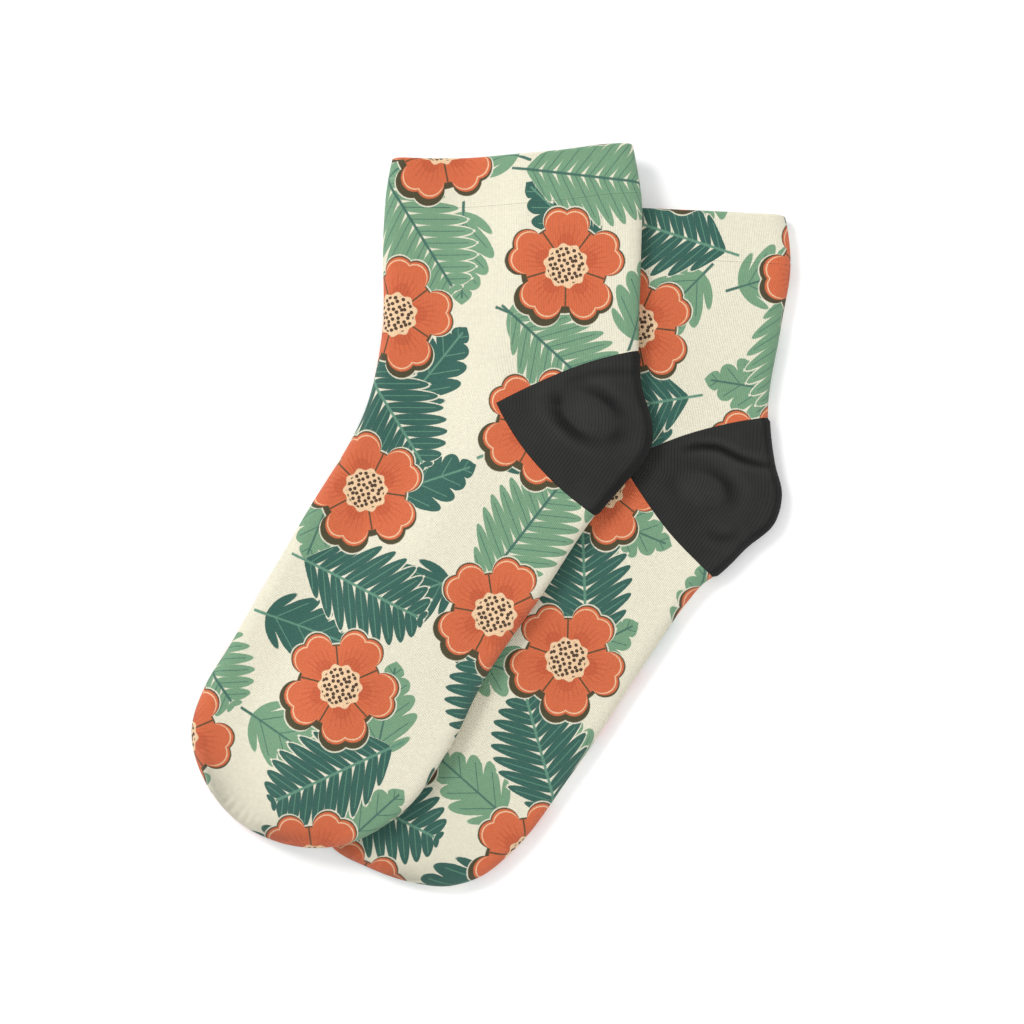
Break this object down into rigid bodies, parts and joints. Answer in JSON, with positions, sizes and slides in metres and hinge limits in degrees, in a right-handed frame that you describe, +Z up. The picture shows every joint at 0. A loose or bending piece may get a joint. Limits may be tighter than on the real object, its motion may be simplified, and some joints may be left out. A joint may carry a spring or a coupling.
{
  "type": "pair of ankle socks",
  "caption": "Pair of knitted ankle socks lying flat, one across the other, with doubled cuffs, contrasting heel pockets and an all-over print.",
  "frame": {"origin": "centre of the pair's bounding box in plan, on the table the socks lie on", "axes": "+Z up off the table through the thickness, +Y from the toes towards the cuffs, +X from the front sock towards the back sock's heel"},
  "size_m": [0.225, 0.2781, 0.0195],
  "materials": {
    "printed_knit": "matte",
    "cuff_knit": "matte",
    "heel_knit": "matte",
    "seam_thread": "matte"
  },
  "bodies": {
    "root": {"front_sock_body": "printed_knit", "front_sock_cuff": "cuff_knit", "front_sock_heel": "heel_knit", "front_sock_toe_seam": "seam_thread", "back_sock_body": "printed_knit", "back_sock_cuff": "cuff_knit", "back_sock_heel": "heel_knit", "back_sock_toe_seam": "seam_thread"}
  },
  "joints": []
}
